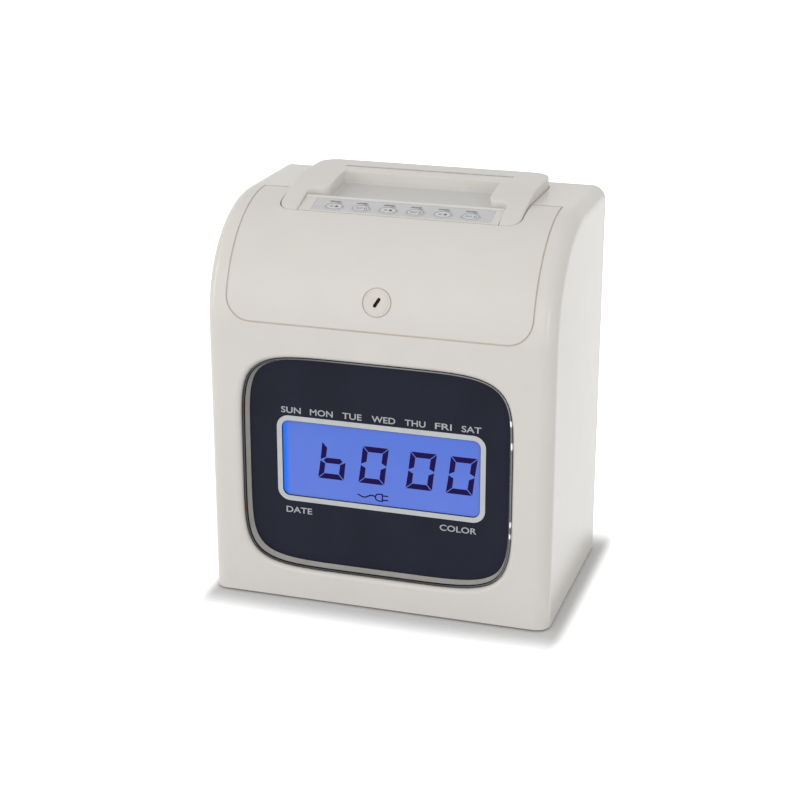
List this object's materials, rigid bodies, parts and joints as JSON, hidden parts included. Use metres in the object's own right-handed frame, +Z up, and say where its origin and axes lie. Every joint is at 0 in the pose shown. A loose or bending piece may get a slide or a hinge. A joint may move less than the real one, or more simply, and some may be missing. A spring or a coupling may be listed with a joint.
{
  "type": "time clock",
  "caption": "Desk-top time clock for paper cards: ivory case with a curved top front, locked hinged cover, raised card guide with slot and mode keys, and a framed blue display window.",
  "frame": {"origin": "on the table, under the middle of the case", "axes": "+Z up, -Y out of the front with the display, +X to the right of someone who faces the display"},
  "size_m": [0.171, 0.105, 0.2],
  "materials": {
    "ivory_plastic": "moulded plastic with a soft satin gloss",
    "grey_panel": "printed matte overlay",
    "key_grey": "matte, printed",
    "clear_light": "clear moulded light guide",
    "chrome": "bright chrome plating",
    "dark_panel": "smooth dark panel with printed lettering",
    "display_blue": "back-lit display glass",
    "white_plastic": "plain moulded",
    "circuit_board": "green solder mask",
    "black_plastic": "plain moulded",
    "grey_plastic": "plain moulded",
    "rubber": "matte rubber",
    "steel": "turned and plated",
    "zinc_sheet": "zinc-plated sheet",
    "ribbon_cloth": "inked cloth ribbon"
  },
  "bodies": {
    "case": {"main_case": "ivory_plastic", "rear_cover": "ivory_plastic", "base_plate": "ivory_plastic", "foot_front_left": "rubber", "foot_front_right": "rubber", "foot_rear_left": "rubber", "foot_rear_right": "rubber", "base_screw_1": "steel", "base_screw_2": "steel", "base_screw_3": "steel", "base_screw_4": "steel", "rear_screw_1": "steel", "rear_screw_2": "steel", "rear_screw_3": "steel", "rear_screw_4": "steel", "hinge_pin_left": "steel", "hinge_pin_right": "steel", "card_guide": "ivory_plastic", "key_panel": "grey_panel", "key_board": "circuit_board", "light_guide": "clear_light", "window_bezel": "chrome", "display_panel": "dark_panel", "lcd_glass": "display_blue", "lcd_backlight": "white_plastic", "main_board": "circuit_board", "buzzer": "black_plastic", "chassis": "zinc_sheet", "chute_front": "zinc_sheet", "chute_rear": "zinc_sheet", "lift_guide_rod": "steel", "lift_motor": "steel", "shaft_front": "steel", "shaft_rear": "steel", "carriage_motor": "steel", "carriage_belt": "rubber", "platen": "rubber", "ribbon_cassette": "black_plastic", "ink_ribbon": "ribbon_cloth", "backup_battery": "white_plastic", "power_board": "circuit_board", "dc_inlet": "black_plastic"},
    "cover": {"front_cover": "ivory_plastic"},
    "lock": {"lock_cylinder": "ivory_plastic", "lock_cam": "steel", "lock_screw": "steel"},
    "key_1": {"key_1": "key_grey"},
    "key_2": {"key_2": "key_grey"},
    "key_3": {"key_3": "key_grey"},
    "key_4": {"key_4": "key_grey"},
    "key_5": {"key_5": "key_grey"},
    "key_6": {"key_6": "key_grey"},
    "lifter": {"card_lifter": "white_plastic"},
    "lift_screw": {"lift_screw": "steel"},
    "carriage": {"carriage": "black_plastic", "print_head": "grey_plastic"},
    "drive_pulley": {"drive_pulley": "white_plastic"},
    "idler_pulley": {"idler_pulley": "white_plastic"},
    "ribbon_knob": {"ribbon_knob": "grey_plastic"}
  },
  "joints": [
    {"name": "cover_hinge", "type": "hinge", "parent": "case", "child": "cover", "pos_m": [0, -0.0075, 0.189], "axis": [-1, 0, 0], "range_deg": [0, 75]},
    {"name": "lock_turn", "type": "hinge", "parent": "cover", "child": "lock", "pos_m": [0, -0.04997, 0.156], "axis": [0, 0.9539, -0.3], "range_deg": [0, 90]},
    {"name": "key_1_press", "type": "slide", "parent": "case", "child": "key_1", "axis": [0, 0.2924, -0.9563], "range_m": [0, 0.0005], "stiffness_N_per_m": 1000},
    {"name": "key_2_press", "type": "slide", "parent": "case", "child": "key_2", "axis": [0, 0.2924, -0.9563], "range_m": [0, 0.0005], "stiffness_N_per_m": 1000},
    {"name": "key_3_press", "type": "slide", "parent": "case", "child": "key_3", "axis": [0, 0.2924, -0.9563], "range_m": [0, 0.0005], "stiffness_N_per_m": 1000},
    {"name": "key_4_press", "type": "slide", "parent": "case", "child": "key_4", "axis": [0, 0.2924, -0.9563], "range_m": [0, 0.0005], "stiffness_N_per_m": 1000},
    {"name": "key_5_press", "type": "slide", "parent": "case", "child": "key_5", "axis": [0, 0.2924, -0.9563], "range_m": [0, 0.0005], "stiffness_N_per_m": 1000},
    {"name": "key_6_press", "type": "slide", "parent": "case", "child": "key_6", "axis": [0, 0.2924, -0.9563], "range_m": [0, 0.0005], "stiffness_N_per_m": 1000},
    {"name": "lifter_slide", "type": "slide", "parent": "case", "child": "lifter", "axis": [0, 0, 1], "range_m": [0, 0.095]},
    {"name": "lift_screw_turn", "type": "hinge", "parent": "case", "child": "lift_screw", "pos_m": [0.052, 0.041, 0.02], "axis": [0, 0, 1], "range_deg": [0, 1715]},
    {"name": "carriage_slide", "type": "slide", "parent": "case", "child": "carriage", "axis": [1, 0, 0], "range_m": [-0.03, 0.03]},
    {"name": "drive_pulley_turn", "type": "hinge", "parent": "case", "child": "drive_pulley", "pos_m": [-0.046, -0.0058, 0.15], "axis": [0, 0, 1], "range_deg": [-290, 290]},
    {"name": "idler_pulley_turn", "type": "hinge", "parent": "case", "child": "idler_pulley", "pos_m": [0.046, -0.0058, 0.15], "axis": [0, 0, 1], "range_deg": [-290, 290]},
    {"name": "ribbon_knob_turn", "type": "hinge", "parent": "case", "child": "ribbon_knob", "pos_m": [0.036, -0.018, 0.175], "axis": [0, 0, 1], "continuous": true}
  ],
  "couplings": [
    {"joint": "lift_screw_turn", "follows": "lifter_slide", "rad_per_m": 314.16},
    {"joint": "drive_pulley_turn", "follows": "carriage_slide", "rad_per_m": -163.93},
    {"joint": "idler_pulley_turn", "follows": "carriage_slide", "rad_per_m": -163.93}
  ]
}
